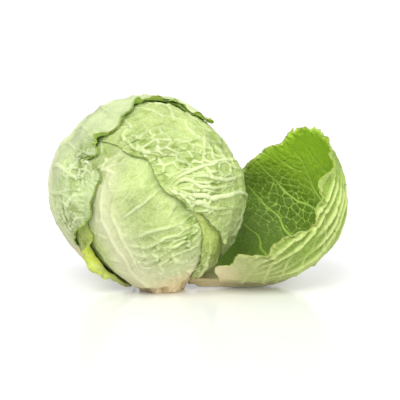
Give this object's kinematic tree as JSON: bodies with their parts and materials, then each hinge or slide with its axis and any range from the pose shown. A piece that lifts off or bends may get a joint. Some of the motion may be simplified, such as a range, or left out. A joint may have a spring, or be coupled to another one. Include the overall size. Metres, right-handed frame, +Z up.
{
  "type": "cabbage head",
  "caption": "Round cabbage head of overlapping ribbed leaves on a cut stump, with its outermost leaf folded open beside it.",
  "frame": {"origin": "centre of the stump's flat cut face, on the surface that the head stands on", "axes": "+Z up through the head, +X towards the opened leaf, the pictured side faces -Y"},
  "size_m": [0.2881, 0.1805, 0.1883],
  "materials": {
    "stump": "matte",
    "heart": "satin",
    "front_leaf": "satin",
    "back_leaf": "satin",
    "low_right_leaf": "satin",
    "right_leaf": "satin",
    "low_left_leaf": "satin",
    "left_leaf": "satin",
    "open_leaf": "satin"
  },
  "bodies": {
    "root": {"stump": "stump", "heart": "heart", "front_leaf": "front_leaf", "back_leaf": "back_leaf", "low_right_leaf": "low_right_leaf", "right_leaf": "right_leaf", "low_left_leaf": "low_left_leaf", "left_leaf": "left_leaf", "open_leaf": "open_leaf"}
  },
  "joints": []
}
